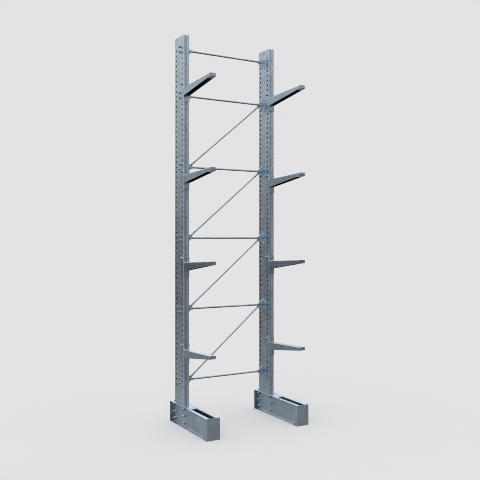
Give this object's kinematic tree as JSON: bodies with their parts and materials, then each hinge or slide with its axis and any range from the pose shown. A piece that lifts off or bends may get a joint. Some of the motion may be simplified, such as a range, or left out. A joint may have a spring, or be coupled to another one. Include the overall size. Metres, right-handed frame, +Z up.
{
  "type": "cantilever rack",
  "caption": "Single-sided cantilever rack: perforated uprights on channel bases, tied by bolted bracing, with tapered load arms hung on cross bolts.",
  "frame": {"origin": "on the floor at the centre of the footprint, midway between the two bases", "axes": "+Z up, X along the bay from the left to the right upright as seen from the arm side, arms point to -Y"},
  "size_m": [1.12, 0.8, 3.8],
  "materials": {
    "galvanised_steel": "hot-dip galvanised sheet, fine spangle, satin",
    "galvanised_tube": "galvanised tube and rod, satin",
    "zinc_plated_bolt": "zinc plated, satin"
  },
  "bodies": {
    "frame": {"left_upright": "galvanised_steel", "right_upright": "galvanised_steel", "left_base_left_channel": "galvanised_steel", "left_base_right_channel": "galvanised_steel", "left_base_front_cap": "galvanised_steel", "left_base_rear_plate": "galvanised_steel", "left_base_front_bolt_1": "zinc_plated_bolt", "left_base_front_bolt_2": "zinc_plated_bolt", "left_base_front_bolt_3": "zinc_plated_bolt", "left_base_rear_bolt_1": "zinc_plated_bolt", "left_base_rear_bolt_2": "zinc_plated_bolt", "left_base_rear_bolt_3": "zinc_plated_bolt", "left_brace_bracket_1": "galvanised_steel", "left_brace_bracket_2": "galvanised_steel", "left_brace_bracket_3": "galvanised_steel", "left_brace_bracket_4": "galvanised_steel", "left_brace_bracket_5": "galvanised_steel", "left_brace_bracket_6": "galvanised_steel", "left_arm_bolt_1": "zinc_plated_bolt", "left_arm_bolt_2": "zinc_plated_bolt", "left_arm_bolt_3": "zinc_plated_bolt", "left_arm_bolt_4": "zinc_plated_bolt", "right_base_left_channel": "galvanised_steel", "right_base_right_channel": "galvanised_steel", "right_base_front_cap": "galvanised_steel", "right_base_rear_plate": "galvanised_steel", "right_base_front_bolt_1": "zinc_plated_bolt", "right_base_front_bolt_2": "zinc_plated_bolt", "right_base_front_bolt_3": "zinc_plated_bolt", "right_base_rear_bolt_1": "zinc_plated_bolt", "right_base_rear_bolt_2": "zinc_plated_bolt", "right_base_rear_bolt_3": "zinc_plated_bolt", "right_brace_bracket_1": "galvanised_steel", "right_brace_bracket_2": "galvanised_steel", "right_brace_bracket_3": "galvanised_steel", "right_brace_bracket_4": "galvanised_steel", "right_brace_bracket_5": "galvanised_steel", "right_brace_bracket_6": "galvanised_steel", "right_arm_bolt_1": "zinc_plated_bolt", "right_arm_bolt_2": "zinc_plated_bolt", "right_arm_bolt_3": "zinc_plated_bolt", "right_arm_bolt_4": "zinc_plated_bolt", "horizontal_brace_1": "galvanised_tube", "horizontal_brace_2": "galvanised_tube", "horizontal_brace_3": "galvanised_tube", "horizontal_brace_4": "galvanised_tube", "horizontal_brace_5": "galvanised_tube", "horizontal_brace_6": "galvanised_tube", "diagonal_brace_1": "galvanised_tube", "diagonal_brace_2": "galvanised_tube", "diagonal_brace_3": "galvanised_tube", "diagonal_brace_4": "galvanised_tube"},
    "left_arm_1": {"left_arm_1": "galvanised_steel"},
    "left_arm_2": {"left_arm_2": "galvanised_steel"},
    "left_arm_3": {"left_arm_3": "galvanised_steel"},
    "left_arm_4": {"left_arm_4": "galvanised_steel"},
    "right_arm_1": {"right_arm_1": "galvanised_steel"},
    "right_arm_2": {"right_arm_2": "galvanised_steel"},
    "right_arm_3": {"right_arm_3": "galvanised_steel"},
    "right_arm_4": {"right_arm_4": "galvanised_steel"}
  },
  "joints": [
    {"name": "left_arm_1_lift", "type": "hinge", "parent": "frame", "child": "left_arm_1", "pos_m": [-0.49, 0.198, 0.775], "axis": [-1, 0, 0], "range_deg": [0, 80]},
    {"name": "left_arm_2_lift", "type": "hinge", "parent": "frame", "child": "left_arm_2", "pos_m": [-0.49, 0.198, 1.625], "axis": [-1, 0, 0], "range_deg": [0, 80]},
    {"name": "left_arm_3_lift", "type": "hinge", "parent": "frame", "child": "left_arm_3", "pos_m": [-0.49, 0.198, 2.475], "axis": [-1, 0, 0], "range_deg": [0, 80]},
    {"name": "left_arm_4_lift", "type": "hinge", "parent": "frame", "child": "left_arm_4", "pos_m": [-0.49, 0.198, 3.325], "axis": [-1, 0, 0], "range_deg": [0, 80]},
    {"name": "right_arm_1_lift", "type": "hinge", "parent": "frame", "child": "right_arm_1", "pos_m": [0.49, 0.198, 0.775], "axis": [-1, 0, 0], "range_deg": [0, 80]},
    {"name": "right_arm_2_lift", "type": "hinge", "parent": "frame", "child": "right_arm_2", "pos_m": [0.49, 0.198, 1.625], "axis": [-1, 0, 0], "range_deg": [0, 80]},
    {"name": "right_arm_3_lift", "type": "hinge", "parent": "frame", "child": "right_arm_3", "pos_m": [0.49, 0.198, 2.475], "axis": [-1, 0, 0], "range_deg": [0, 80]},
    {"name": "right_arm_4_lift", "type": "hinge", "parent": "frame", "child": "right_arm_4", "pos_m": [0.49, 0.198, 3.325], "axis": [-1, 0, 0], "range_deg": [0, 80]}
  ]
}
